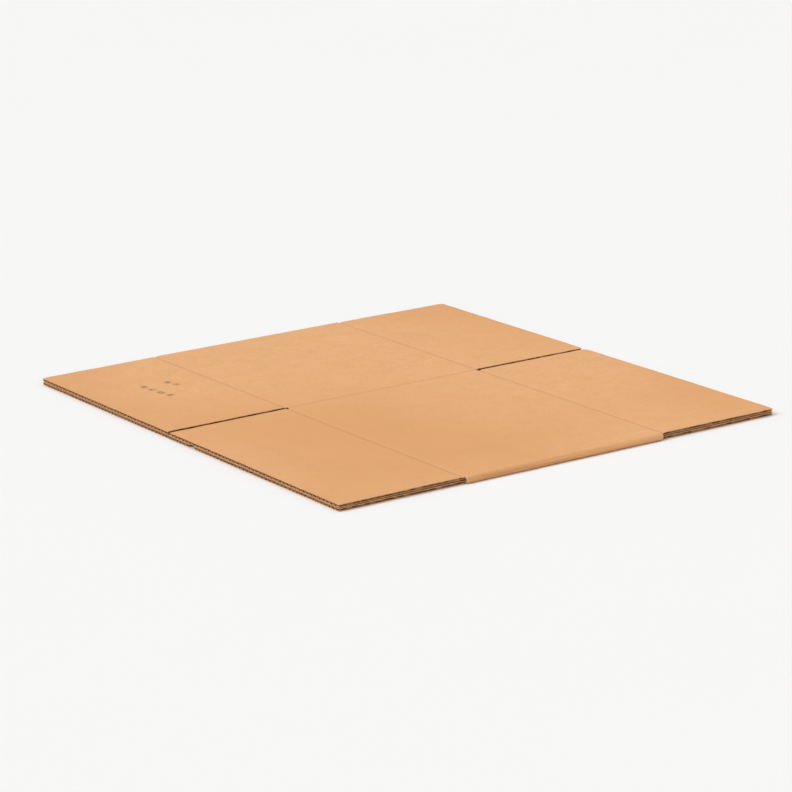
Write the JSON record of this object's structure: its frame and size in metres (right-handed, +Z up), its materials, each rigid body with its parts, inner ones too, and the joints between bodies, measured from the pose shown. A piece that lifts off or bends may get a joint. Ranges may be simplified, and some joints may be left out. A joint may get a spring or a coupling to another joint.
{
  "type": "flattened cardboard box",
  "caption": "Slotted corrugated shipping box folded flat, with two layers of board, slots between the flaps and a glued side joint.",
  "frame": {"origin": "middle of the footprint, on the surface that the box lies on", "axes": "+X across the panels, the longest way; +Y along the flutes, from flap to flap; +Z up through the two layers"},
  "size_m": [0.67, 0.574, 0.0083],
  "materials": {
    "kraft_board": "matte kraft liner"
  },
  "bodies": {
    "root": {"flattened_box": "kraft_board"}
  },
  "joints": []
}
